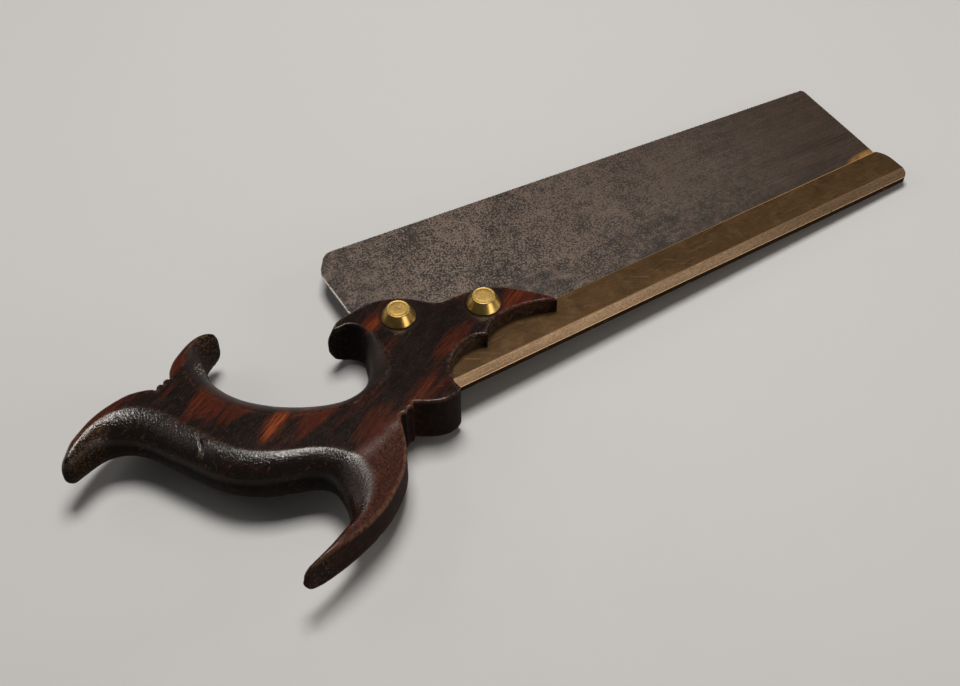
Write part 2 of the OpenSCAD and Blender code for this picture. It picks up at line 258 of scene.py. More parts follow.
_parts = [spline(r) for r in RUNS]
LINE = np.vstack([a for a, _ in _parts])
LINE[:, 2] = np.maximum(LINE[:, 2], .5)
LINE_KIND = np.array(sum([k for _, k in _parts], []))


def outline_fields(x, y):
    """For each kind of edge: signed distance inwards and the radius at the nearest point of that kind's lines."""
    best = [np.full(x.shape, 1e9) for _ in KINDS]
    rad = [np.zeros(x.shape) for _ in KINDS]
    nxt = np.roll(LINE, -1, axis=0)
    for a, b, k in zip(LINE, nxt, LINE_KIND):
        ux, uy = b[0] - a[0], b[1] - a[1]
        t = np.clip(((x - a[0]) * ux + (y - a[1]) * uy) / (ux * ux + uy * uy), 0, 1)
        d = (x - a[0] - ux * t) ** 2 + (y - a[1] - uy * t) ** 2
        m = d < best[k]
        best[k][m] = d[m]
        rad[k][m] = (a[2] + (b[2] - a[2]) * t)[m]
    inside = np.zeros(x.shape, bool)
    for a, b in zip(LINE, nxt):
        c = (a[1] > y) != (b[1] > y)
        if c.any():
            inside ^= c & (x < (b[0] - a[0]) * (y - a[1]) / (b[1] - a[1] + 1e-12) + a[0])
    dist = [np.sqrt(b) for b in best]
    near = np.argmin(np.stack(dist), axis=0)
    for k in range(len(KINDS)):
        dist[k] = np.where(~inside & (near == k), -dist[k], dist[k])
    return dist, rad


def soft_min(a, b, k):
    return np.minimum(a, b) - np.maximum(k - np.abs(a - b), 0) ** 2 / (4 * k)


def half_thickness(x, y, side, inside):
    h = np.full(x.shape, HALF)
    for (ax, ay), deg, above, below, run, half in THIN:
        c, s = math.cos(math.radians(deg)), math.sin(math.radians(deg))
        along = (x - ax) * c + (y - ay) * s
        aside = np.abs(-(x - ax) * s + (y - ay) * c)
        t = np.clip(along / run, 0, 1.15)
        h -= (above if side > 0 else below) * t ** 1.3 * (1 - smoothstep(half - 4, half + 2, aside)) * (along < run + 14)
    best, edge_h = np.full(x.shape, 1e9), np.full(x.shape, HALF)
    rim = spline([(*q, "c") for q in SHOULDER])[0]
    for a, b in zip(rim, rim[1:]):
        ux, uy = b[0] - a[0], b[1] - a[1]
        t = np.clip(((x - a[0]) * ux + (y - a[1]) * uy) / (ux * ux + uy * uy), 0, 1)
        d = np.hypot(x - a[0] - ux * t, y - a[1] - uy * t)
        m = d < best
        best[m], edge_h[m] = d[m], (a[2] + (b[2] - a[2]) * t)[m]
    h = soft_min(h, edge_h + FALL * np.where(inside | (best > 4), best, -best), 2.4)
    (ax, ay), deg, run, high = CLAW
    along = (x - ax) * math.cos(math.radians(deg)) + (y - ay) * math.sin(math.radians(deg))
    claw = np.where(along < 0, HALF + 9, high * np.sqrt(np.clip(1 - (along / run) ** 2, .01, 1)) + 3 * smoothstep(3, 0, along))
    return np.where((x < -60) & (y < -55), soft_min(h, claw, .8), h)


def soften(field, cells):
    kernel = np.exp(-.5 * (np.arange(-3 * cells, 3 * cells + 1) / cells) ** 2)
    kernel /= kernel.sum()
    for axis in (0, 1):
        pad = [(3 * cells, 3 * cells) if k == axis else (0, 0) for k in (0, 1)]
        wide = np.pad(field, pad, mode="edge")
        field = sum(w * np.take(wide, np.arange(i, i + field.shape[axis]), axis=axis) for i, w in enumerate(kernel))
    return field


GX, GY, GH = -131.0, -71.0, 0.3
NX, NY = int(204 / GH) + 2, int(128 / GH) + 2
gx, gy = np.meshgrid(GX + GH * np.arange(NX), GY + GH * np.arange(NY), indexing="ij")
DIST, RAD = outline_fields(gx, gy)
INSIDE = np.min(np.stack(DIST), axis=0) > 0
THICK = soften(half_thickness(gx, gy, 1, INSIDE), 3)
THICK_LOW = soften(half_thickness(gx, gy, -1, INSIDE), 3)
CROWN = {"c": 0.0, "f": 0.30, "p": 0.14, "t": 0.0}

# small dents and chips: centre, half sizes, turn about w in degrees
NICKS = [
    ((-82.2, 0.6, 10.6), (1.1, 3.4, 1.5), -24), ((-83.6, -1.8, 9.6), (1.5, 1.3, 1.1), -24), ((-81.2, 4.6, 11.3), (.5, 2.2, .5), -10),
    ((-26.4, -49.8, 7.3), (1.6, .8, .7), 40), ((-21.4, -45.0, 7.3), (1.3, .8, .7), 46), ((-18.4, -41.0, 7.9), (.9, .7, .7), 60),
    ((-32.5, -54.4, 7.1), (1.4, .7, .6), 32), ((-45.5, -60.4, 7.4), (1.6, .7, .6), 18), ((-69.5, -64.4, 7.4), (1.8, 1.0, .8), 14),
    ((6.8, 11.2, 11.4), (1.3, .6, .5), 10), ((33.0, -6.2, 11.3), (1.0, .8, .6), 10), ((15.2, -25.4, 11.3), (.9, .8, .8), 0),
    ((9.0, 31.4, 11.3), (1.5, .7, .6), 0), ((52, 13.6, 11.4), (1.2, .7, .6), -25), ((-93, 39.6, 11.2), (1.3, .8, .7), -10),
    ((-23.7, -11.2, 11.35), (.55, .5, .5), 0), ((-75.4, 12.0, 11.45), (1.4, .35, .45), 150), ((-71.8, 8.0, 11.45), (1.2, .35, .45), 155),
    ((-66.0, -6.4, 11.45), (2.4, .32, .42), 32), ((-47.5, -10.8, 11.45), (1.8, .3, .4), 40),
    ((-73.6, -65.4, 5.6), (1.1, .7, 1.4), 20), ((-71.2, -64.2, 6.9), (1.3, .45, .5), 24), ((-74.3, -65.0, 2.0), (.6, .9, 1.2), 0),
    ((20, -18, -11.3), (1.5, .8, .6), 30), ((-40, -58.3, -7.1), (1.8, .8, .8), 22), ((40, 16.4, -11.3), (1.4, .7, .7), 0),
]


def bilinear(field, x, y):
    fx = np.clip((x - GX) / GH, 0, NX - 1.001)
    fy = np.clip((y - GY) / GH, 0, NY - 1.001)
    i, j = fx.astype(int), fy.astype(int)
    a, b = fx - i, fy - j
    return (field[i, j] * (1 - a) * (1 - b) + field[i + 1, j] * a * (1 - b)
            + field[i, j + 1] * (1 - a) * b + field[i + 1, j + 1] * a * b)


def body_field(w, dist, rad, h):
    """Negative inside the wood. w and the outline fields broadcast against each other."""
    aw = np.abs(w)
    f = aw - h
    for k, name in enumerate(KINDS):
        r, d, crown = rad[k], dist[k], CROWN[name]
        if name == "c":
            rv = r
        elif name == "t":
            rv = np.minimum(r * (1 + .7 * smoothstep(2.2, 4.2, r)), h - .4)
        else:
            rv = np.minimum(np.interp(r, (1, 3, 6, 9), (1.2, 4.5, 9.5, 10.9)), h - .2)
        a = np.maximum(r - d, 0) / r
        b = np.maximum(aw - (h + crown - rv), 0) / rv
        f = np.maximum(f, (np.sqrt(a * a + b * b) - 1) * np.minimum(r, rv))
    return f


def thickness(p):
    return np.where(p[:, 2] >= 0, bilinear(THICK, p[:, 0], p[:, 1]), bilinear(THICK_LOW, p[:, 0], p[:, 1]))


def nick_field(p):
    f = np.full(len(p), -1e3)
    for c, s, deg in NICKS:
        q = p - np.array(c)
        m = (np.abs(q) < 6).all(axis=1)
        if not m.any():
            continue
        q = q[m]
        cs, sn = math.cos(math.radians(deg)), math.sin(math.radians(deg))
        q = np.stack([q[:, 0] * cs + q[:, 1] * sn, -q[:, 0] * sn + q[:, 1] * cs, q[:, 2]], axis=1) / np.array(s)
        f[m] = np.maximum(f[m], -(np.sqrt((q * q).sum(axis=1)) - 1) * min(s))
    return f


def wood_field(p):
    dist = [bilinear(f, p[:, 0], p[:, 1]) for f in DIST]
    rad = [bilinear(f, p[:, 0], p[:, 1]) for f in RAD]
    f = body_field(p[:, 2], dist, rad, thickness(p))
    soft = smoothstep(2.0, 6.0, dist[0])
    f = f + soft * (0.16 * lattice(p, 11.0, 3) + 0.10 * lattice(p, 4.6, 5)) * (np.abs(p[:, 2]) < 10.6)
    return np.maximum(f, nick_field(p))


def surface_net(values, origin, step):
    """Vertices and quads of the zero level of a sampled field."""
    inside = values < 0
    n = np.zeros(tuple(s - 1 for s in values.shape), np.int8)
    corners = [(a, b, c) for a in (0, 1) for b in (0, 1) for c in (0, 1)]
    for a, b, c in corners:
        n += inside[a:a + n.shape[0], b:b + n.shape[1], c:c + n.shape[2]]
    cells = np.argwhere((n > 0) & (n < 8))
    ids = np.full(n.shape, -1, np.int64)
    ids[tuple(cells.T)] = np.arange(len(cells))
    v = np.stack([values[cells[:, 0] + a, cells[:, 1] + b, cells[:, 2] + c] for a, b, c in corners], axis=1)
    total, count = np.zeros((len(cells), 3)), np.zeros(len(cells))
    for i in range(8):
        for j in range(i + 1, 8):
            pi, pj = np.array(corners[i]), np.array(corners[j])
            if np.abs(pi - pj).sum() != 1:
                continue
            m = (v[:, i] < 0) != (v[:, j] < 0)
            t = v[m, i] / (v[m, i] - v[m, j])
            total[m] += pi + t[:, None] * (pj - pi)
            count[m] += 1
    verts = origin + step * (cells + total / count[:, None])
    quads = []
    for axis in range(3):
        u, w = [(1, 2), (2, 0), (0, 1)][axis]
        lo = [slice(None)] * 3
        hi = [slice(None)] * 3
        lo[axis], hi[axis] = slice(0, -1), slice(1, None)
        e = np.argwhere(inside[tuple(lo)] != inside[tuple(hi)])
        e = e[(e[:, u] > 0) & (e[:, w] > 0) & (e[:, u] < n.shape[u]) & (e[:, w] < n.shape[w])]
        du, dw = np.zeros(3, int), np.zeros(3, int)
        du[u], dw[w] = 1, 1
        q = np.stack([ids[tuple((e - du - dw).T)], ids[tuple((e - dw).T)], ids[tuple(e.T)], ids[tuple((e - du).T)]], axis=1)
        flip = ~inside[tuple(e.T)]
        q[flip] = q[flip][:, ::-1]
        quads.append(q)
    return verts, np.vstack(quads)


VOX = 0.6
kx = np.arange(0, NX, 2)
ky = np.arange(0, NY, 2)
kz = np.arange(-12.3, 12.31, VOX)
sub = np.ix_(kx, ky)
volume = body_field(kz[None, None, :], [d[sub][:, :, None] for d in DIST], [r[sub][:, :, None] for r in RAD],
                    np.where(kz >= 0, THICK[sub][:, :, None], THICK_LOW[sub][:, :, None]))
verts, quads = surface_net(volume, np.array([GX, GY, kz[0]]), VOX)
del volume
ends = np.vstack([quads[:, [0, 1]], quads[:, [1, 2]], quads[:, [2, 3]], quads[:, [3, 0]]])


def gradient(p):
    e = 0.06
    g = np.empty_like(p)
    for k in range(3):
        q = p.copy()
        q[:, k] += e
        r = p.copy()
        r[:, k] -= e
        g[:, k] = (wood_field(q) - wood_field(r)) / (2 * e)
    return g


for turn in range(3):
    # even out the net along the surface, then bring every vertex back onto it
    if turn:
        g = gradient(verts)
        g /= np.maximum(np.linalg.norm(g, axis=1, keepdims=True), 1e-6)
        mean, cnt = np.zeros_like(verts), np.zeros(len(verts))
        for a, b in ((0, 1), (1, 0)):
            for k in range(3):
                mean[:, k] += np.bincount(ends[:, a], verts[ends[:, b], k], len(verts))
            cnt += np.bincount(ends[:, a], minlength=len(verts))
        move = mean / cnt[:, None] - verts
        move -= g * (move * g).sum(axis=1, keepdims=True)
        verts = verts + 0.5 * move
    g = gradient(verts)
    f = wood_field(verts)
    step = g * (f / np.maximum((g * g).sum(axis=1), .05))[:, None]
    size = np.linalg.norm(step, axis=1, keepdims=True)
    verts = verts - step * np.minimum(1, 0.5 / np.maximum(size, 1e-9))
verts[:, 2] = np.clip(verts[:, 2], -HALF, HALF)
verts[:, 0] = np.maximum(verts[:, 0], -129.49)

handle = quads_object("handle_wood", to_frame(verts), quads)
tee = [(-19.05, -3.3), (.05, -3.3), (.05, -.45), (60, -.45), (60, .45), (.05, .45), (.05, 3.3), (-19.05, 3.3)]
cut(handle, prism("kerf", tee, -.05, 120, axis="x"))
for n, at in (("f", FRONT_AT), ("r", REAR_AT)):
    cut(handle, lathe("hole_" + n, at, [(0, -12), (6.15, -12), (6.15, -5.8), (2.6, -5.8), (2.6, 12), (0, 12)], 48))
    cut(handle, prism("pocket_" + n, box_points(at[0], at[1], 2.85), 6.05, 12))
shade(handle, 58)


# ------------------------------------------------------------------ painted wear, figure, shade and reflection, kept on the handle's points
def attribute(ob, name, values, domain="POINT"):
    at = ob.data.attributes.new(name, "FLOAT", domain)
    at.data.foreach_set("value", np.asarray(values, np.float32))


co = np.empty(len(handle.data.vertices) * 3, np.float32)
handle.data.vertices.foreach_get("co", co)
co = co.reshape(-1, 3).astype(float) * 1000 - PLACE
dist = [bilinear(f, co[:, 0], co[:, 1]) for f in DIST]
rad = [bilinear(f, co[:, 0], co[:, 1]) for f in RAD]
hh = thickness(co)
aw = np.abs(co[:, 2])
# crisp edges rubbed light
edge = smoothstep(2.0, .3, dist[0]) * smoothstep(hh - 1.9, hh - .3, aw)
crease = np.zeros(len(co))
for k, reach in ((1, .76), (2, .84)):
    flat = reach * rad[k]
    crease = np.maximum(crease, smoothstep(1.3, .2, np.abs(dist[k] - flat)) * (aw > hh - .8) * (rad[k] > 3))
palm = smoothstep(1.10, .78, dist[2] / np.maximum(rad[2] * .84, 1)) * (rad[2] > 3.6)
finger = smoothstep(1.0, .7, dist[1] / np.maximum(rad[1] * .76, 1)) * (rad[1] > 3)
wall = smoothstep(1.6, .6, dist[0]) * smoothstep(hh - .6, hh - 2.0, aw)
worn = smoothstep(11.05, 10.0, hh) * (co[:, 1] < -24) * (1 - wall) * (1 - palm)


def zone(x, y, along, across, deg=27, w=None, deep=14):
    c, s = math.cos(math.radians(deg)), math.sin(math.radians(deg))
    u = ((co[:, 0] - x) * c + (co[:, 1] - y) * s) / along
    v = (-(co[:, 0] - x) * s + (co[:, 1] - y) * c) / across
    q = u * u + v * v
    if w is not None:
        q = q + ((co[:, 2] - w) / deep) ** 2
    return np.exp(-1.6 * q * q)


red = np.zeros(len(co))
for z in ((1, 20.8, 9, 4, .85), (60, 3, 15, 7, 1.0), (69, -4, 8, 5, .6), (2, -19, 14, 5, .45), (24, -3, 14, 4.5, .56), (-70, 19, 12, 8, .85),
          (-60, 10, 14, 6, .8), (-36, -7, 18, 6, .8), (-22, -34, 17, 12, .9), (-34, -49, 18, 9, .9), (-52, -60, 16, 5, .8), (-24, -24, 14, 6, .6),
          (-106, 35, 20, 4, .85), (-78, 42, 12, 5, .9), (-64, 51, 9, 4, .8), (36, 14, 12, 4, .55), (-88, 30, 10, 4, .45)):
    red = np.maximum(red, z[4] * zone(*z[:4]))
hot = np.maximum(zone(-54.2, -4.8, 10, 3.9, 33), .45 * zone(-40, -3.4, 11, 1.8, 12))
hot = np.maximum(hot, .70 * zone(1.6, 20.6, 5, 1.7, 27))
hot = np.maximum(hot, .25 * zone(0, -20, 9, 2.2, 30))
hot = np.maximum(hot, .12 * zone(-72, 22, 9, 2.4, 30))
hot = np.maximum(hot, .22 * zone(58, 4, 9, 2.6, 22))
ink = np.zeros(len(co))
for z in ((22, 10, 19, 9, 1.0), (-5.5, 17.5, 7, 4.2, 1.0), (-8, 27.5, 7, 3.5, .8), (4, -4, 16, 7, .6), (33, 9.5, 9, 6, .8), (-66, 1.2, 9, 5.5, .95), (-77, 24, 10, 6, .5), (-92, 27, 12, 7, .6), (12, 2, 14, 5, .7), (-30, -20, 9, 4, .3), (-57, 48, 9, 7, .9)):
    ink = np.maximum(ink, z[4] * zone(*z[:4]))
dust = np.maximum(.8 * zone(-66.5, 37.5, 4.5, 2.6, 60, 7.0, 4), .9 * zone(-23.8, -11, .7, .6, 0, 11, 2))
dust = np.maximum(dust, .55 * zone(-83.2, -1.2, 1.4, 2.6, -24, 10, 3))
up = np.empty(len(co) * 3, np.float32)
handle.data.vertices.foreach_get("normal", up)
up = up.reshape(-1, 3)[:, 2]
sheen = np.maximum(smoothstep(.18, .62, up), .6 * smoothstep(.55, .95, -up))
sheen *= (1 - .75 * zone(-57, 48, 11, 8, 45)) * (1 - .45 * zone(-8, -3, 6, 4, 50)) * (1 - .36 * zone(-38, -45, 13, 7, 100))
# dark ring round each bolt head: painted shade where the head meets the wood, and dirt
darkening = np.maximum(*[smoothstep(9.6, 7.0, np.hypot(co[:, 0] - a[0], co[:, 1] - a[1])) for a in (FRONT_AT, REAR_AT)]) * (co[:, 2] > 10)
gold = np.maximum(.72 * zone(-118, 26, 13, 5.5, 27), .65 * zone(-58.5, 47.5, 9, 7, 45))
# painted reflection of the brass back, lightening the walls of the cove and under the nose
painted_brass_reflection = np.maximum(zone(25, -9, 13, 7, 27), .7 * zone(52, -3, 22, 4, 0))
tip = np.maximum(zone(-69, -65, 11, 6, 27), .55 * zone(-11, 23, 6, 8, 0))
worn *= 1 - .75 * zone(-65, -63.5, 11, 6, 27)
arris = smoothstep(1.25, .65, dist[0]) * smoothstep(hh - 1.6, hh - .9, aw) * zone(-32, -48, 40, 17, 45) * (co[:, 2] > 0)
for name, values in (("gold", gold), ("painted_brass_reflection", painted_brass_reflection), ("tip", tip), ("arris", arris), ("sheen", sheen), ("darkening", darkening), ("rub", np.maximum(edge, .55 * crease)), ("palm", palm), ("finger", finger), ("wall", wall), ("worn", worn), ("red", red), ("hot", hot), ("ink", ink), ("dust", dust)):
    attribute(handle, name, values)

# ------------------------------------------------------------------ the saw plate
LEN, DEEP_H, DEEP_T, HEEL, TOE, PITCH = 254.0, 76.0, 54.5, 9.5, 251.5, 1.2
TOOTH = PITCH * .36


def tooth_y(x):
    return DEEP_H + (DEEP_T - DEEP_H) * (x - HEEL) / (TOE - HEEL)


count = int(math.floor((TOE - HEEL) / PITCH))
gullets = [(HEEL + PITCH * k, tooth_y(HEEL + PITCH * k) - TOOTH) for k in range(count + 1)]
tips = [(HEEL + PITCH * (k + .82), tooth_y(HEEL + PITCH * (k + 1))) for k in range(count)]
corner = [(LEN - 2 + 2 * math.sin(a), DEEP_T - 2.2 + 2 * math.cos(a)) for a in [math.radians(15 * k) for k in range(1, 7)]]
edge_line = [(LEN - .6, 34), (LEN - 1.2, 17), (LEN - 2, 0), (LEN - 2.4, -9)]
heel_line = [(0, -9), (0, 20), (0, 40), (0, DEEP_H - 16.5), (.2, DEEP_H - 13), (.7, DEEP_H - 10.2), (1.8, DEEP_H - 7.8), (3.6, DEEP_H - 5.2),
             (5.7, DEEP_H - 2.3), (8, DEEP_H - .6)]
ring = gullets + corner + edge_line + heel_line
bm = bmesh.new()
T = 0.4
top = [bm.verts.new(to_frame((x, y, T))) for x, y in ring]
bot = [bm.verts.new(to_frame((x, y, -T))) for x, y in ring]
n = len(ring)
bm.faces.new(top[::-1])
bm.faces.new(bot)
tip_top, tip_bot = [], []
for k, (x, y) in enumerate(tips):
    lean = .06 if k % 2 else -.06
    tip_top.append(bm.verts.new(to_frame((x, y, T - .06 + lean))))
    tip_bot.append(bm.verts.new(to_frame((x, y, -T + .06 + lean))))
for k in range(count):
    a, b, c, d = top[k], top[k + 1], bot[k], bot[k + 1]
    bm.faces.new((a, tip_top[k], b))
    bm.faces.new((c, d, tip_bot[k]))
    bm.faces.new((a, c, tip_bot[k], tip_top[k]))
    bm.faces.new((tip_top[k], tip_bot[k], d, b))
for i in range(count, n):
    j = (i + 1) % n
    bm.faces.new((top[i], bot[i], bot[j], top[j]))
bmesh.ops.recalc_face_normals(bm, faces=bm.faces)
plate = mesh_object("saw_blade", [], [])
bm.to_mesh(plate.data)
bm.free()
for n_, at in (("f", FRONT_AT), ("r", REAR_AT)):
    cut(plate, lathe("plate_hole_" + n_, at, [(0, -2), (2.6, -2), (2.6, 2), (0, 2)], 40))
shade(plate, 20)
normals = np.empty(len(plate.data.polygons) * 3, np.float32)
plate.data.polygons.foreach_get("normal", normals)
attribute(plate, "rim", (np.abs(normals.reshape(-1, 3)[:, 2]) < .8).astype(float), "FACE")

# ------------------------------------------------------------------ the brass back
BACK_END, BACK_D, BH, CW, CH = 253.5, 19.0, 3.25, 4.0, 1.75
slot_h, slot_d = .4, 12.0
tilt = math.atan2(CH, CW)
LIP_R, RIM_R, FOLD_R = .5, .42, .22
rim_w = BH - CH - RIM_R * (1 - math.sin(tilt)) / math.cos(tilt)
fold = np.array([(-BACK_D + CW + FOLD_R, BH), (-BACK_D + CW, BH), (-BACK_D + CW - FOLD_R * math.cos(tilt), BH - FOLD_R * math.sin(tilt))])
upper = [(0, slot_h)]
upper += [(LIP_R * math.cos(q) - LIP_R, BH - LIP_R + LIP_R * math.sin(q)) for q in np.radians((0, 22.5, 45, 67.5, 90))]
upper += [tuple(fold[0]), tuple(np.array((.25, .5, .25)) @ fold), tuple(fold[2])]
upper += [(-BACK_D + RIM_R - RIM_R * math.sin(q), rim_w + RIM_R * math.cos(q)) for q in np.linspace(tilt, math.pi / 2, 5)]
section = upper + [(y, -w) for y, w in upper[::-1]] + [(-slot_d, -slot_h), (-slot_d, slot_h)]
back = prism("folded_back", section[::-1], 0, BACK_END, axis="x")
nose_line = [(-5, 1), (BACK_END - 7, 1)]
nose_line += [(BACK_END - 7 + 7 * math.sin(math.radians(a)), -8.5 + 9.5 * math.cos(math.radians(a))) for a in range(3, 91, 3)]
nose_line += [(BACK_END - 3 + 3 * math.cos(math.radians(a)), -BACK_D + 3 - 3 * math.sin(math.radians(a))) for a in range(0, 91, 5)]
nose_line += [(BACK_END - 3, -BACK_D - 1), (-5, -BACK_D - 1)]
cut(back, prism("back_end", nose_line, -5, 5), "INTERSECT")
shade(back, 6.5)
normals = np.empty(len(back.data.polygons) * 3, np.float32)
back.data.polygons.foreach_get("normal", normals)
normals = normals.reshape(-1, 3)
main = np.array([(0, 0, 1), (0, 0, -1), (0, -1, 0), (0, 1, 0), (-1, 0, 0), (0, -math.sin(tilt), math.cos(tilt)), (0, -math.sin(tilt), -math.cos(tilt))])
flatness = (normals @ main.T).max(axis=1)
sides = np.abs(normals[:, 2]) < .05
attribute(back, "rim", ((flatness < math.cos(math.radians(4))) & ~sides).astype(float), "FACE")
attribute(back, "slope", ((normals @ main[5:].T).max(axis=1) > .995).astype(float), "FACE")
centres = np.empty(len(back.data.polygons) * 3, np.float32)
back.data.polygons.foreach_get("center", centres)
centres = centres.reshape(-1, 3) * 1000 - PLACE
slant = np.degrees(np.arctan2(-normals[:, 1], np.abs(normals[:, 2])))
attribute(back, "outer", (centres[:, 1] < -BACK_D + 1.0) * np.exp(-((slant - 58) / 16) ** 2), "FACE")
attribute(back, "side", (normals[:, 1] < -.985).astype(float), "FACE")
round_rim = (flatness < math.cos(math.radians(4))) & ~sides & (centres[:, 1] < -BACK_D + 1.0)
bm = bmesh.new()
bm.from_mesh(back.data)
for e in bm.edges:
    if len(e.link_faces) == 2 and all(round_rim[f.index] for f in e.link_faces):
        e.smooth = True
bm.to_mesh(back.data)
bm.free()


# ------------------------------------------------------------------ bolts and nuts
def saw_bolt(name, at, turn):
    z0, z1 = 11.1, 15.7
    prof = [(0, -10.7), (2.35, -10.7), (2.5, -10.55), (2.5, 6.0), (2.5, z0), (6.95, z0), (7.1, z0 + .06), (7.15, z0 + .2), (7.1, z0 + .42)]
    for k in range(1, 12):
        t = k / 12
        prof.append((7.1 + (4.86 - 7.1) * t + .05 * math.sin(math.pi * t), z0 + .42 + (z1 - .34 - z0 - .42) * t))
    prof += [(4.86, z1 - .34), (4.76, z1 - .14), (4.6, z1 - .03), (4.4, z1), (4.15, z1 - .02), (3.95, z1 - .07), (3.8, z1 - .08), (3.6, z1 - .05), (2.4, z1 - .04),
             (1.2, z1 - .05), (0, z1 - .05)]
    ob = lathe(name, at, prof, 128)
    cut(ob, prism(name + "_neck", box_points(at[0], at[1], 2.8), 6.1, z0 + .3), "UNION")
    bevel(ob, .00008, 1, 50)
    shade(ob, 40)
    return ob


def saw_nut(name, at, turn):
    lo, hi = -10.9, -5.9
    prof = [(2.55, lo + .25), (2.8, lo), (5.6, lo), (5.85, lo + .07), (6.0, lo + .3), (6.0, hi - .2), (5.8, hi), (2.75, hi), (2.55, hi - .2), (2.55, lo + .25)]
    ob = lathe(name, at, prof, 96)
    bm = bmesh.new()
    bm.from_mesh(ob.data)
    bmesh.ops.remove_doubles(bm, verts=bm.verts, dist=1e-7)
    bmesh.ops.recalc_face_normals(bm, faces=bm.faces)
    bm.to_mesh(ob.data)
    bm.free()
    c, s = math.cos(turn), math.sin(turn)
    bar = [(at[0] + c * x - s * y, at[1] + s * x + c * y) for x, y in ((-8, -1), (8, -1), (8, 1), (-8, 1))]
    cut(ob, prism(name + "_slot", bar, lo - 1, lo + 1.8))
    bevel(ob, .0001, 1, 50)
    shade(ob, 40)
    return ob


front_bolt = saw_bolt("bolt_front", FRONT_AT, 0)
rear_bolt = saw_bolt("bolt_rear", REAR_AT, 0)
front_nut = saw_nut("nut_front", FRONT_AT, math.radians(0))
rear_nut = saw_nut("nut_rear", REAR_AT, math.radians(0))


# ------------------------------------------------------------------ materials
class Paint:
    def __init__(self, name):
        self.mat = bpy.data.materials.new(name)
        self.mat.use_nodes = True
        self.tree = self.mat.node_tree
        self.tree.nodes.clear()
        self.out = self.add("ShaderNodeOutputMaterial")
        self.bsdf = self.add("ShaderNodeBsdfPrincipled")
        self.tree.links.new(self.bsdf.outputs[0], self.out.inputs[0])

    def add(self, kind, **props):
        node = self.tree.nodes.new(kind)
        for k, v in props.items():
            setattr(node, k, v)
        return node

    def put(self, socket, value):
        if isinstance(value, bpy.types.NodeSocket):
            self.tree.links.new(value, socket)
        elif isinstance(value, (tuple, list)) and len(value) == 3 and socket.type == "RGBA":
            socket.default_value = (*value, 1)
        else:
            socket.default_value = value

    def math(self, op, a, b=None, clamp=False):
        node = self.add("ShaderNodeMath", operation=op, use_clamp=clamp)
        self.put(node.inputs[0], a)
        if b is not None:
            self.put(node.inputs[1], b)
        return node.outputs[0]

    def plus(self, *terms):
        out = terms[0]
        for t in terms[1:]:
            out = self.math("ADD", out, t)
        return out

    def times(self, *terms):
        out = terms[0]
        for t in terms[1:]:
            out = self.math("MULTIPLY", out, t)
        return out

    def step(self, x, a, b, lo=0.0, hi=1.0):
        node = self.add("ShaderNodeMapRange", interpolation_type="SMOOTHSTEP")
        for s, v in zip(node.inputs[:5], (x, a, b, lo, hi)):
            self.put(s, v)
        return node.outputs[0]

    def line(self, x, a, b, lo=0.0, hi=1.0):
        node = self.add("ShaderNodeMapRange", interpolation_type="LINEAR", clamp=True)
        for s, v in zip(node.inputs[:5], (x, a, b, lo, hi)):
            self.put(s, v)
        return node.outputs[0]

    def mix(self, fac, a, b, blend="MIX"):
        node = self.add("ShaderNodeMix", data_type="RGBA", blend_type=blend)
        self.put(node.inputs[0], fac)
        self.put(node.inputs[6], a)
        self.put(node.inputs[7], b)
        return node.outputs[2]

    def noise(self, vec, scale=1.0, detail=3.0, rough=.55, twist=0.0):
        node = self.add("ShaderNodeTexNoise")
        self.put(node.inputs["Vector"], vec)
        node.inputs["Scale"].default_value = scale
        node.inputs["Detail"].default_value = detail
        node.inputs["Roughness"].default_value = rough
        node.inputs["Distortion"].default_value = twist
        return node.outputs["Fac"]

    def cells(self, vec, scale, feature="DISTANCE_TO_EDGE", out="Distance"):
        node = self.add("ShaderNodeTexVoronoi", feature=feature)
        self.put(node.inputs["Vector"], vec)
        node.inputs["Scale"].default_value = scale
        return node.outputs[out]

    def attr(self, name):
        return self.add("ShaderNodeAttribute", attribute_name=name).outputs["Fac"]

    def place(self, scale=(1000, 1000, 1000), turn=0.0, vec=None):
        node = self.add("ShaderNodeMapping", vector_type="POINT")
        self.put(node.inputs["Vector"], vec if vec is not None else self.coord())
        node.inputs["Rotation"].default_value = (0, 0, math.radians(turn))
        node.inputs["Scale"].default_value = scale
        return node.outputs[0]

    def coord(self):
        if not hasattr(self, "_coord"):
            self._coord = self.add("ShaderNodeTexCoord").outputs["Object"]
        return self._coord

    def split(self, vec):
        node = self.add("ShaderNodeSeparateXYZ")
        self.put(node.inputs[0], vec)
        return node.outputs

    def join(self, x, y, z):
        node = self.add("ShaderNodeCombineXYZ")
        for s, v in zip(node.inputs, (x, y, z)):
            self.put(s, v)
        return node.outputs[0]

    def bump(self, height, distance, strength=1.0, normal=None):
        node = self.add("ShaderNodeBump")
        self.put(node.inputs["Height"], height)
        node.inputs["Distance"].default_value = distance
        self.put(node.inputs["Strength"], strength)
        if normal is not None:
            self.put(node.inputs["Normal"], normal)
        return node.outputs[0]

    def set(self, **values):
        names = dict(color="Base Color", rough="Roughness", metal="Metallic", normal="Normal", coat="Coat Weight", coat_rough="Coat Roughness",
                     spec="Specular IOR Level", tint="Specular Tint", ior="IOR", aniso="Anisotropic")
        for k, v in values.items():
            self.put(self.bsdf.inputs[names[k]], v)


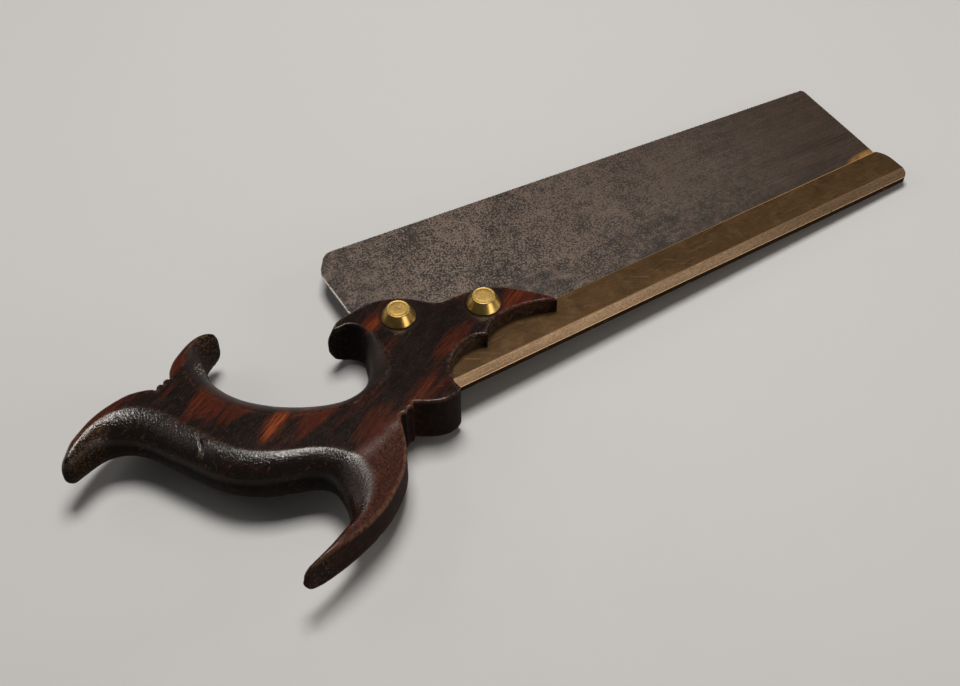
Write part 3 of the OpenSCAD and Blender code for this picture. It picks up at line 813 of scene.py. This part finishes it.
def wood():
    p = Paint("rosewood")
    g = p.place(turn=-28)
    u, v, w = p.split(g)
    drift = p.noise(p.join(p.times(u, .016), p.times(v, .05), p.times(w, .03)), 1, 2, .5)
    v2 = p.plus(v, p.times(p.math("SUBTRACT", drift, .5), 13.0), p.times(w, .42))
    broad = p.noise(p.join(p.times(u, .022), p.times(v2, .16), p.times(w, .05)), 1, 3, .55)
    mid = p.noise(p.join(p.times(u, .045), p.times(v2, .62), p.times(w, .2)), 1, 4, .62)
    fine = p.noise(p.join(p.times(u, .11), p.times(v2, 2.3), p.times(w, 1.4)), 1, 3, .6)
    hair = p.noise(p.join(p.times(u, .35), p.times(v, 6.5), p.times(w, 5.0)), 1, 2, .5)
    blotch = p.noise(g, .085, 3, .6)
    red, hot, ink, palm, finger, wall, worn, rub, dust, sheen, bolt_ring_dirt_and_shade = [
        p.attr(a) for a in ("red", "hot", "ink", "palm", "finger", "wall", "worn", "rub", "dust", "sheen", "darkening")]

    dark = p.mix(p.step(fine, .3, .72), (.0066, .0037, .0030), (.0150, .0079, .0060))
    dark = p.mix(p.step(p.noise(g, .16, 4, .6), .40, .62, 0, .55), dark, (.0036, .0024, .0021))
    redness = p.plus(p.times(mid, .55), p.times(broad, .55), p.times(fine, .22), p.times(red, .48), p.times(ink, -.34), p.times(blotch, .2))
    warm = p.mix(p.step(fine, .24, .78), (.024, .0052, .0029), (.068, .0135, .0054))
    col = p.mix(p.step(redness, .73, 1.08), dark, warm)
    glow = p.times(hot, p.step(p.plus(p.times(mid, .6), p.times(fine, .4)), .34, .58))
    col = p.mix(glow, col, p.mix(p.step(fine, .35, .65), (.085, .016, .0055), (.290, .060, .0125)))
    # dark lines that follow the figure
    lines = p.times(p.step(p.math("ABSOLUTE", p.math("SUBTRACT", mid, .47)), .028, .004), p.step(broad, .35, .6))
    col = p.mix(p.times(lines, .72), col, (.0040, .0026, .0023))
    col = p.mix(p.times(p.step(hair, .52, .70), .20), col, (.005, .0032, .0027))
    # pores, some with pale dust in them
    pores = p.noise(p.join(p.times(u, .42), p.times(v, 3.4), p.times(w, 3.0)), 1, 1, .5)
    pits = p.step(pores, .66, .73)
    col = p.mix(p.times(pits, .75), col, (.0035, .0026, .0022))
    specks = p.times(p.step(p.noise(g, 1.35, 2, .5), .69, .75), p.step(blotch, .38, .60))
    col = p.mix(p.times(specks, .55), col, (.15, .105, .08))
    # handling: the grip is darkened and edges are rubbed pale; the side walls are darkened as painted shade
    darkening = p.noise(g, .23, 4, .6)
    hands = p.math("MAXIMUM", palm, p.times(finger, .7))
    col = p.mix(p.times(hands, p.line(darkening, .3, .7, .55, .88)), col, (.0046, .0029, .0022))
    amber = p.times(palm, p.step(p.noise(g, .55, 4, .65), .55, .70), p.step(blotch, .38, .56))
    col = p.mix(p.times(amber, .52), col, (.074, .033, .012))
    gold = p.attr("gold")
    col = p.mix(p.times(gold, p.step(p.noise(g, 1.25, 3, .6), .50, .60), .68), col, (.125, .066, .026))
    # painted shade: the side walls are darkened
    col = p.mix(p.times(wall, .75), col, p.mix(p.step(mid, .35, .65), (.0080, .0044, .0030), (.0200, .0090, .0055)))
    # painted reflection of the brass back on the walls by the cove and the nose
    col = p.mix(p.times(wall, p.attr("painted_brass_reflection"), p.step(fine, .30, .62, .35, .9)), col, (.115, .070, .040))
    # stained walls, and flecks at the ends of the horn and the hook
    stain = p.noise(g, .40, 4, .65)
    tip = p.attr("tip")
    col = p.mix(p.times(p.math("MAXIMUM", p.times(wall, .62), p.times(tip, .88)), p.step(stain, .42, .58)), col, (.0048, .0032, .0026))
    col = p.mix(p.times(tip, p.step(p.noise(g, .95, 3, .6), .54, .63), .80), col, (.085, .040, .0135))
    pock = p.step(p.noise(g, 1.3, 3, .62), .49, .57)
    col = p.mix(p.times(worn, p.line(fine, .3, .7, .25, .55)), col, (.062, .0215, .0125))
    col = p.mix(p.times(worn, p.line(pock, 0, 1, .05, .80)), col, (.0080, .0050, .0042))
    # painted shade and dirt in the ring round the bolt heads
    col = p.mix(p.times(bolt_ring_dirt_and_shade, .65), col, (.0040, .0028, .0022))
    col = p.mix(p.times(p.attr("arris"), p.step(p.noise(g, .55, 4, .65), .38, .58), .70), col, (.130, .060, .032))
    chafe = p.times(rub, p.step(p.noise(g, .8, 4, .65), .42, .62))
    col = p.mix(p.times(chafe, .5), col, (.090, .050, .034))
    col = p.mix(p.times(dust, p.step(p.noise(g, 1.5, 2, .5), .57, .64), .95), col, (.50, .43, .32))
    # fine scratches in three directions
    scr = None
    for turn, thr in ((18, .695), (-52, .705), (84, .715)):
        s = p.place((1000, 1000, 1000), turn)
        a, b, c = p.split(s)
        t = p.step(p.noise(p.join(p.times(a, .085), p.times(b, 3.6), p.times(c, .6)), 1, 1, .5), thr, thr + .03)
        scr = t if scr is None else p.math("MAXIMUM", scr, t)
    col = p.mix(p.times(scr, .020), col, (.13, .09, .07))
    # worn polish: a leathery skin where the hand goes, smoother on the flats
    crackle = p.cells(p.join(p.times(u, .95), p.times(v, 1.25), p.times(w, 1.25)), 1.0)
    wrinkle = p.step(crackle, .02, .20)
    skin = p.noise(p.join(p.times(u, .85), p.times(v, 1.3), p.times(w, 1.3)), 1, 1.5, .5)
    rough = p.plus(p.line(p.noise(g, .35, 4, .6), .3, .7, .17, .25), p.times(palm, -.04), p.times(worn, .14), p.line(sheen, 0, 1, .62, 0), p.times(bolt_ring_dirt_and_shade, .35), p.times(finger, .22), p.times(wall, .05), p.times(pits, .16), p.times(scr, .08),
                   p.times(dust, .3), p.times(p.noise(g, 2.4, 2, .6), .04))
    grain = p.plus(p.times(fine, .5), p.times(hair, .35), p.times(pits, -.9), p.times(scr, -.12))
    n1 = p.bump(grain, .00006, p.line(hands, 0, 1, .30, .10))
    n2 = p.bump(p.plus(p.times(wrinkle, .25), p.times(skin, 1.2), p.times(worn, pock, -.7)), .00022, p.plus(.03, p.times(hands, .50), p.times(worn, .62)), n1)
    n3 = p.bump(p.noise(g, .32, 3, .5), .0004, p.plus(.07, p.times(hands, .22)), n2)
    gloss = p.times(sheen, p.line(gold, 0, 1, 1.0, .75), p.line(hands, 0, 1, .28, 1.0), p.line(worn, 0, 1, 1.0, .24), p.line(bolt_ring_dirt_and_shade, 0, 1, 1.0, .0))
    p.set(color=col, rough=p.math("MINIMUM", rough, .9), normal=n3, spec=.46, tint=p.mix(gloss, (.06, .05, .045), (1, .97, .94)), ior=1.5)
    return p.mat


def steel():
    p = Paint("old_steel")
    m = p.place()
    x, y, z = p.split(m)
    s1 = p.noise(m, 1.05, 2, .62)
    s2 = p.noise(m, 2.4, 2, .6)
    cloud = p.noise(m, .045, 4, .6)
    patch = p.noise(m, .20, 3, .6)
    far = p.step(x, -20, 150)
    rim = p.attr("rim")
    tone = p.plus(p.times(s1, .60), p.times(s2, .40), p.times(p.math("SUBTRACT", cloud, .5), -.22), p.times(p.math("SUBTRACT", patch, .5), -.19), p.times(p.math("SUBTRACT", p.noise(m, .48, 2, .6), .5), -.16))
    f = p.step(tone, .474, .524)
    light = p.mix(p.step(s2, .35, .65), (.088, .060, .045), (.196, .142, .110))
    deep = p.mix(p.step(patch, .35, .65), (.0175, .0120, .0100), (.0085, .0064, .0058))
    col = p.mix(f, deep, light)
    # the skin calms to an even brown towards the toe
    even = p.mix(p.step(p.plus(p.times(patch, .6), p.times(s1, .4)), .36, .62), (.054, .0362, .0250), (.034, .0228, .0154))
    band = p.noise(p.join(p.times(x, .018), p.times(y, .16), z), 1, 3, .6)
    even = p.mix(p.times(p.step(band, .50, .68), .70), even, (.026, .0180, .0130))
    even = p.mix(p.times(p.step(s2, .49, .62), .62), even, (.024, .0160, .0112))
    even = p.mix(p.times(p.step(s1, .56, .66), .45), even, (.085, .0590, .0430))
    even = p.mix(p.step(x, 110, 190, 0, .78), even, (.0285, .0142, .0056))
    streak = p.times(p.step(p.noise(p.join(p.times(x, .02), p.times(y, .22), z), 1, 3, .6), .46, .60), p.step(x, 130, 175), p.step(y, 26, 10))
    col = p.mix(p.plus(p.line(far, 0, 1, .06, .70), p.step(x, 110, 180, 0, .16)), col, even)
    col = p.mix(p.times(streak, .62), col, (.0150, .0080, .0038))
    rust = p.step(p.noise(m, .10, 4, .62), .54, .70)
    col = p.mix(p.times(rust, .35), col, (.070, .040, .026))
    stain = p.times(p.step(p.noise(m, .34, 4, .66), .60, .68), p.step(cloud, .42, .56))
    col = p.mix(p.times(stain, .72), col, (.017, .0118, .0100))
    near = p.times(p.step(y, 4.5, -4.5), p.step(p.plus(p.times(s1, .4), p.times(patch, .6)), .40, .56))
    col = p.mix(p.times(near, .55), col, (.017, .0118, .0094))
    hx = p.math("DIVIDE", p.math("SUBTRACT", x, 8), 30)
    hy = p.math("DIVIDE", p.math("SUBTRACT", y, 7), 11)
    shady = p.math("MAXIMUM", p.step(p.plus(p.times(hx, hx), p.times(hy, hy)), 1.0, .1), p.times(p.step(x, -22, -60), .7))
    col = p.mix(p.times(shady, p.step(p.plus(p.times(s1, .5), p.times(patch, .5)), .40, .58, .15, .75)), col, (.0150, .0104, .0086))
    belt = p.times(p.step(y, 24, 8), p.step(x, 40, 70), p.step(x, 150, 120), p.step(p.plus(p.times(s1, .55), p.times(p.noise(m, .48, 2, .6), .45)), .50, .57))
    col = p.mix(p.times(belt, .62), col, (.0165, .0110, .0082))
    # drawn along the length
    draw = p.noise(p.join(p.times(x, .03), p.times(y, 2.4), z), 1, 3, .6)
    col = p.mix(p.times(p.step(draw, .45, .72), .12), col, (.21, .175, .15))
    # amber near the toe end of the back
    ax = p.math("DIVIDE", p.math("SUBTRACT", x, 186), 14)
    ay = p.math("DIVIDE", p.math("SUBTRACT", y, -3.6), 4.6)
    q = p.plus(p.times(ax, ax), p.times(ay, ay))
    col = p.mix(p.times(p.step(q, 1.0, 0.0), p.step(p.noise(m, .25, 3, .6), .2, .5), .9), col, (.34, .165, .036))
    # painted highlight: an orange line on the plate along the lip of the back
    lip_line_highlight = p.times(p.step(y, -3.4, -4.6), p.step(x, 60, 170))
    col = p.mix(p.times(lip_line_highlight, .8), col, (.20, .095, .030))
    # the heel edge and the edge faces painted pale: bare metal, and partly a painted highlight
    col = p.mix(p.times(p.step(x, -61.5, -61.95), p.step(p.noise(m, .9, 3, .6), .34, .52), .85), col, (.50, .45, .40))
    col = p.mix(p.times(rim, p.step(p.noise(m, .8, 3, .6), .32, .55), .85), col, (.40, .35, .30))
    rough = p.plus(p.line(f, 0, 1, .60, .46), p.times(far, -.04), p.times(draw, .06))
    n1 = p.bump(tone, .00006, .5)
    n2 = p.bump(draw, .00003, .3, n1)
    p.set(color=col, metal=.35, rough=rough, normal=n2, spec=.4)
    return p.mat


def brass_sheet():
    p = Paint("dull_brass")
    m = p.place()
    x, y, z = p.split(m)
    cloud = p.noise(m, .06, 5, .6)
    fleck = p.noise(m, 1.3, 4, .68)
    draw = p.noise(p.join(p.times(x, .05), p.times(y, 2.0), p.times(z, 2.0)), 1, 3, .6)
    slope, rim, outer, side = p.attr("slope"), p.attr("rim"), p.attr("outer"), p.attr("side")
    heel = p.step(x, 20, -50)
    tone = p.plus(p.times(cloud, .5), p.times(fleck, .35), p.times(draw, .25))
    col = p.mix(p.step(tone, .38, .72), (.044, .0240, .0096), (.080, .0440, .0190))
    # darker towards the heel: painted shade under the nose of the handle, and dirt
    col = p.mix(p.times(heel, .22), col, (.020, .0112, .0046))
    # the chamfer painted lighter than the flats: partly worn brighter, partly a painted highlight
    col = p.mix(p.times(slope, .70), col, p.mix(p.step(p.plus(p.times(fleck, .55), p.times(draw, .45)), .34, .64), (.150, .093, .052), (.330, .216, .128)))
    # painted highlight along the middle of the chamfer
    chamfer_highlight = p.times(slope, p.step(x, -30, 20), p.step(x, 150, 80))
    col = p.mix(p.times(chamfer_highlight, p.step(fleck, .30, .60, .25, .55)), col, (.46, .305, .185))
    pull = p.noise(p.join(p.times(x, .7), p.times(y, 2.6), p.times(z, 2.6)), 1, 2, .6)
    col = p.mix(p.times(slope, p.step(pull, .46, .62, 0, .42)), col, (.092, .056, .030))
    plain = p.math("SUBTRACT", 1.0, p.math("MAXIMUM", slope, rim))
    col = p.mix(p.times(plain, p.step(p.noise(m, .11, 4, .65), .50, .66, 0, .34)), col, (.112, .066, .029))
    col = p.mix(p.times(plain, p.step(p.noise(m, .19, 4, .62), .54, .68, 0, .42)), col, (.029, .0160, .0066))
    spots = p.times(p.step(p.noise(m, .9, 4, .7), .63, .70), p.step(cloud, .42, .6))
    col = p.mix(p.times(spots, .55), col, (.055, .034, .019))
    # painted shade: the outer wall of the back is darkened
    col = p.mix(p.times(side, .95), col, (.0135, .0080, .0042))
    glint = p.times(rim, p.step(p.noise(m, .7, 3, .6), .22, .44), p.math("MAXIMUM", p.times(outer, .95), p.line(heel, 0, 1, .10, .0)))
    col = p.mix(glint, col, (1.0, .63, .34))
    # painted highlight: the rounded lip painted bright orange
    lip = p.times(rim, p.step(y, -6.5, -5.4), p.step(x, 20, 160))
    col = p.mix(p.times(lip, .62), col, (.62, .34, .12))
    scr = None
    for turn, thr in ((-4, .70), (33, .72)):
        a, b, c = p.split(p.place((1000, 1000, 1000), turn))
        t = p.step(p.noise(p.join(p.times(a, .07), p.times(b, 3.4), p.times(c, 1.0)), 1, 1, .5), thr, thr + .03)
        scr = t if scr is None else p.math("MAXIMUM", scr, t)
    col = p.mix(p.times(scr, .22), col, (.30, .19, .095))
    rough = p.plus(p.line(tone, .35, .75, .48, .36), p.times(slope, -.08), p.times(rim, p.line(outer, 0, 1, .02, -.18)), p.times(fleck, .06))
    n1 = p.bump(p.plus(fleck, p.times(scr, -.6)), .00005, .45)
    n2 = p.bump(p.noise(m, .07, 2, .5), .0006, .25, n1)
    p.set(color=col, metal=p.math("MAXIMUM", glint, p.plus(p.line(side, 0, 1, .40, .05), p.times(slope, .25))), rough=p.plus(rough, p.times(side, .4)), normal=n2, spec=.06)
    return p.mat


def brass_turned(name, at, pale, deep, rough0):
    p = Paint(name)
    m = p.place()
    cx, cy = (at[0] + PLACE[0]), (at[1] + PLACE[1])
    x, y, z = p.split(m)
    dx, dy = p.math("SUBTRACT", x, float(cx)), p.math("SUBTRACT", y, float(cy))
    r = p.math("SQRT", p.plus(p.times(dx, dx), p.times(dy, dy)))
    rings = p.noise(p.join(p.times(r, 5.5), p.times(z, 5.5), .5), 1, 3, .6)
    cloud = p.noise(m, .28, 4, .6)
    grain = p.noise(m, 2.6, 4, .7)
    flat = p.step(z, 26.3, 26.55)
    col = p.mix(p.step(p.plus(p.times(cloud, .6), p.times(grain, .4)), .36, .64), deep, pale)
    pits = p.step(p.noise(m, 1.5, 3, .7), .64, .70)
    col = p.mix(p.times(pits, .5), col, tuple(.32 * c for c in deep))
    # painted shade at the foot of the head, where it meets the wood
    foot = p.step(z, 22.55, 22.25)
    col = p.mix(p.times(foot, .6), col, tuple(.35 * c for c in deep))
    tops = p.mix(p.step(grain, .38, .62), tuple(.42 * c for c in deep), tuple(.66 * c for c in pale))
    col = p.mix(p.times(flat, .85), col, tops)
    rough = p.plus(p.line(cloud, .3, .7, rough0, rough0 + .07), p.times(flat, .14), p.times(pits, .15))
    n1 = p.bump(rings, .00003, .45)
    n2 = p.bump(grain, .00007, p.plus(.14, p.times(flat, .45)), n1)
    p.set(color=col, metal=1.0, rough=rough, normal=n2)
    return p.mat


def pale_floor():
    p = Paint("pale_floor")
    m = p.place((1, 1, 1))
    c = p.mix(p.noise(m, 3.0, 3, .5), (.440, .432, .426), (.472, .464, .457))
    p.set(color=c, rough=p.line(p.noise(m, 60, 3, .6), .3, .7, .70, .80), spec=.25)
    p.set(normal=p.bump(p.noise(m, 900, 3, .6), .0001, .12))
    return p.mat


def dress(ob, mat):
    ob.data.materials.clear()
    ob.data.materials.append(mat)
    ob.data.polygons.foreach_set("material_index", np.zeros(len(ob.data.polygons), np.int32))
    ob.data.update()


for ob, mat, node, slot in (
        (handle, wood(), "handle", "handle_wood"), (plate, steel(), "saw_plate", "plate_steel"), (back, brass_sheet(), "brass_back", "back_brass"),
        (front_bolt, brass_turned("bolt_brass_front", FRONT_AT, (.72, .47, .155), (.50, .31, .085), .25), "front_bolt", "bolt_brass"),
        (rear_bolt, brass_turned("bolt_brass_rear", REAR_AT, (.72, .47, .155), (.50, .31, .085), .25), "rear_bolt", "bolt_brass"),
        (front_nut, brass_turned("nut_brass_front", FRONT_AT, (.46, .31, .125), (.28, .18, .065), .34), "front_nut", "nut_brass"),
        (rear_nut, brass_turned("nut_brass_rear", REAR_AT, (.46, .31, .125), (.28, .18, .065), .34), "rear_nut", "nut_brass")):
    dress(ob, mat)
    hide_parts(node)
    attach(ob, "root")

# ------------------------------------------------------------------ floor, light, camera
# The saw lies on the front of its cheek and on the toe of its back, so the floor leans a little against it.
n = 48
size = 3.0
fv, ff = [], []
for i in range(n + 1):
    for j in range(n + 1):
        x, y = -size + 2 * size * i / n, -size + 2 * size * j / n
        fv.append((x, y, .0421 * (x - .004) + .0408 * (y + .00528) - .00025))
for i in range(n):
    for j in range(n):
        a = i * (n + 1) + j
        ff.append((a, a + n + 1, a + n + 2, a + 1))
floor = mesh_object("floor", fv, ff)
dress(floor, pale_floor())


def area_light(name, place, target, size, power, colour=(1, 1, 1)):
    data = bpy.data.lights.new(name, "AREA")
    data.shape, data.size, data.energy, data.color = "SQUARE", size, power, colour
    ob = bpy.data.objects.new(name, data)
    ob.location = place
    ob.rotation_euler = (Vector(target) - Vector(place)).to_track_quat("-Z", "Y").to_euler()
    scene.collection.objects.link(ob)
    return ob


area_light("key", (.05, .16, 1.15), (.0, 0, 0), .42, 15.0, (1, .98, .95))
area_light("side", (1.15, -.35, .42), (0, 0, .01), .45, 2.6, (1, .97, .94))
area_light("card", (.36, -1.14, .20), (0, 0, .02), .6, 3.0, (1, .94, .85))
area_light("fill", (-.76, .74, .70), (0, 0, .01), .7, 1.8, (1, .97, .94))
world = bpy.data.worlds.new("studio")
world.use_nodes = True
world.node_tree.nodes["Background"].inputs[0].default_value = (1, .985, .97, 1)
world.node_tree.nodes["Background"].inputs[1].default_value = .07
scene.world = world
scene.view_settings.view_transform = "Standard"

cam = bpy.data.cameras.new("camera")
cam.sensor_fit, cam.sensor_width, cam.lens = "HORIZONTAL", 36.0, 52.5
cam.clip_start, cam.clip_end = .01, 20
cam_ob = bpy.data.objects.new("camera", cam)
cam_ob.location = (-.22187, -.32540, .43441)
cam_ob.rotation_euler = (math.radians(41.5), 0, math.radians(-31.74))
scene.collection.objects.link(cam_ob)
scene.camera = cam_ob
